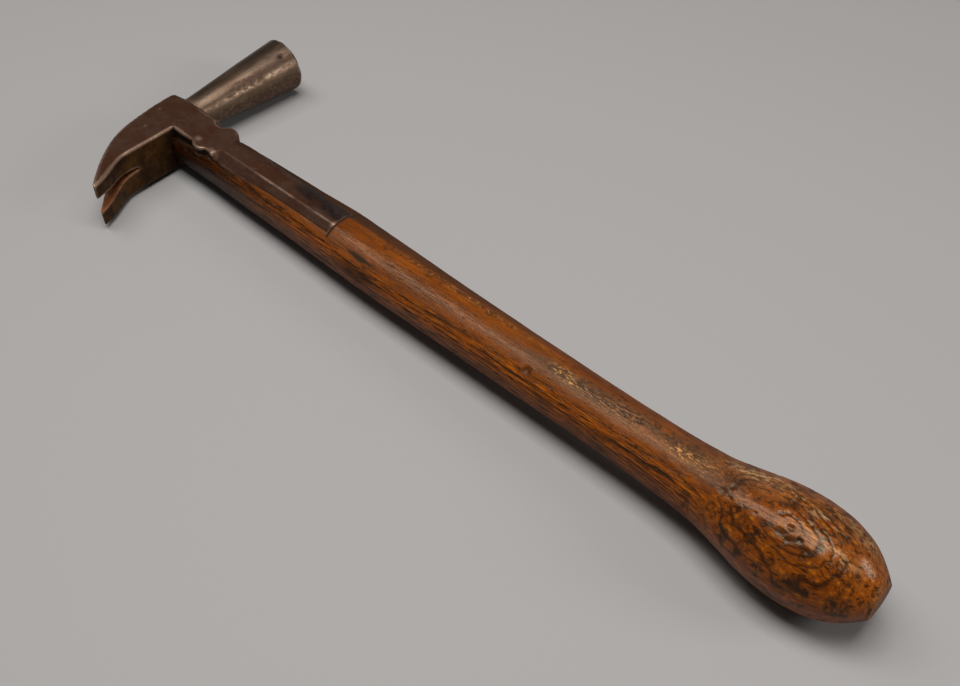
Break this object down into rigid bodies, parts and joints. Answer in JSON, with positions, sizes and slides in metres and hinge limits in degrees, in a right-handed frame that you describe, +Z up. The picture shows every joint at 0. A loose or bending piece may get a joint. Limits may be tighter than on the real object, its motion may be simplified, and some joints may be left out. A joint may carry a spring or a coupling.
{
  "type": "strapped claw tack hammer",
  "caption": "Small hammer with a round steel poll, a forked claw head strapped onto a faceted wooden handle, and a bulb-shaped grip end.",
  "frame": {"origin": "centre of the bounding box at its base, where the hammer rests on its cheek on a bench", "axes": "+X runs down the handle from the head to the butt, +Y runs along the head out of the striking face, +Z up from the bench; the handle's own axis rises 1.03 degrees towards the butt because the bulb is thicker than the poll"},
  "size_m": [0.286, 0.0926, 0.0285],
  "materials": {
    "forged_iron": "brown patina over forged wrought iron, edges worn bright",
    "worn_steel": "worn bright steel with light rust staining",
    "handle_wood": "old oiled red-brown hardwood with dark open grain, satin",
    "wedge_wood": "dark dry hardwood end grain",
    "rivet_iron": "dark iron, filed flush with the strap"
  },
  "bodies": {
    "root": {"head": "forged_iron", "poll": "worn_steel", "handle": "handle_wood", "eye_wedge": "wedge_wood", "strap_rivet_head_end": "rivet_iron", "strap_rivet_grip_end": "rivet_iron"}
  },
  "joints": []
}
